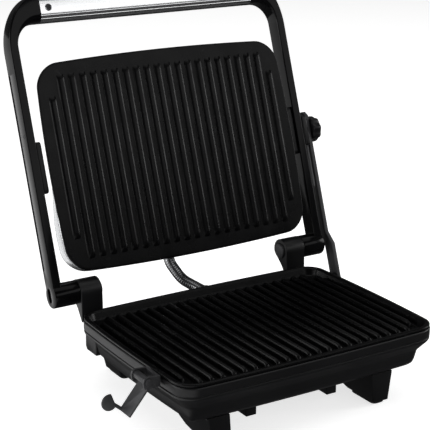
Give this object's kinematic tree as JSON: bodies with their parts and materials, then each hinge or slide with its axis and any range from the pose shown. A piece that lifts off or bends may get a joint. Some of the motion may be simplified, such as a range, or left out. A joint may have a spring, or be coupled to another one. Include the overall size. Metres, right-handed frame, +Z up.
{
  "type": "panini press",
  "caption": "Open contact grill with ribbed hinged plates on wrap-around side arms, bar handle, side latch, adjustable stay and four legs.",
  "frame": {"origin": "middle of the bounding box at the underside of the feet", "axes": "+Z up from the worktop, -Y the front where the user stands, +X the right-hand side, which carries the stay"},
  "size_m": [0.4086, 0.3628, 0.4074],
  "materials": {
    "base_plastic": "fine matte texture",
    "arm_gloss": "high gloss black",
    "nonstick": "cast aluminium with a dark non-stick coating",
    "brushed_cover": "brushed",
    "handle_metal": "satin silver",
    "plated": "bright plated",
    "fastener_steel": "plain",
    "latch_metal": "dark grey powder coat",
    "rubber": "matte",
    "ceramic": "glazed ceramic look",
    "lens_red": "translucent lens",
    "lens_green": "translucent lens"
  },
  "bodies": {
    "base": {"base_shell": "base_plastic", "lower_plate": "nonstick", "lower_heater": "fastener_steel", "lower_heat_shield": "fastener_steel", "lower_thermostat": "ceramic", "terminal_block": "ceramic", "lead_gland_base": "rubber", "mains_gland": "rubber", "leg_front_left": "base_plastic", "leg_rear_left": "base_plastic", "foot_pad_front_left": "rubber", "foot_pad_rear_left": "rubber", "cord_wrap_left": "base_plastic", "leg_front_right": "base_plastic", "leg_rear_right": "base_plastic", "foot_pad_front_right": "rubber", "foot_pad_rear_right": "rubber", "cord_wrap_right": "base_plastic", "hinge_tower_left": "base_plastic", "hinge_pin_left": "latch_metal", "hinge_tower_right": "base_plastic", "hinge_pin_right": "latch_metal", "latch_bracket": "latch_metal", "latch_pin": "latch_metal", "stay_bracket": "base_plastic", "lead_conduit": "plated"},
    "lid_frame": {"arm_left": "arm_gloss", "arm_inlay_left": "base_plastic", "pivot_block_left": "base_plastic", "handle_screw_left": "latch_metal", "arm_right": "arm_gloss", "arm_inlay_right": "base_plastic", "pivot_block_right": "base_plastic", "handle_screw_right": "latch_metal", "handle_core": "base_plastic", "handle_cover": "handle_metal", "clamp_block": "base_plastic", "clamp_stud": "fastener_steel"},
    "head": {"upper_plate": "nonstick", "head_cover": "brushed_cover", "upper_heater": "fastener_steel", "upper_heat_shield": "fastener_steel", "upper_thermostat": "ceramic", "lamp_red": "lens_red", "lamp_green": "lens_green"},
    "latch": {"latch_hook": "latch_metal"},
    "stay": {"stay_bar": "latch_metal", "stay_rivet": "fastener_steel"},
    "clamp_knob": {"clamp_knob": "base_plastic"}
  },
  "joints": [
    {"name": "lid_hinge", "type": "hinge", "parent": "base", "child": "lid_frame", "pos_m": [0.00501, 0.06508, 0.102], "axis": [1, 0, 0], "range_deg": [0, 109.4], "deforming": ["lead_conduit"]},
    {"name": "head_tilt", "type": "hinge", "parent": "lid_frame", "child": "head", "pos_m": [0.00501, 0.11058, 0.23122], "axis": [1, 0, 0], "range_deg": [-1.6, 1.6]},
    {"name": "latch_pivot", "type": "hinge", "parent": "base", "child": "latch", "pos_m": [-0.16549, -0.12692, 0.0805], "axis": [0, 1, 0], "range_deg": [0, 140]},
    {"name": "stay_pivot", "type": "hinge", "parent": "base", "child": "stay", "pos_m": [0.19051, 0.04164, 0.06254], "axis": [1, 0, 0], "range_deg": [0, 94.9]},
    {"name": "knob_turn", "type": "hinge", "parent": "lid_frame", "child": "clamp_knob", "pos_m": [0.19801, 0.11012, 0.2299], "axis": [1, 0, 0], "continuous": true}
  ],
  "couplings": [
    {"joint": "stay_pivot", "follows": "lid_hinge", "ratio": 0.86253}
  ]
}
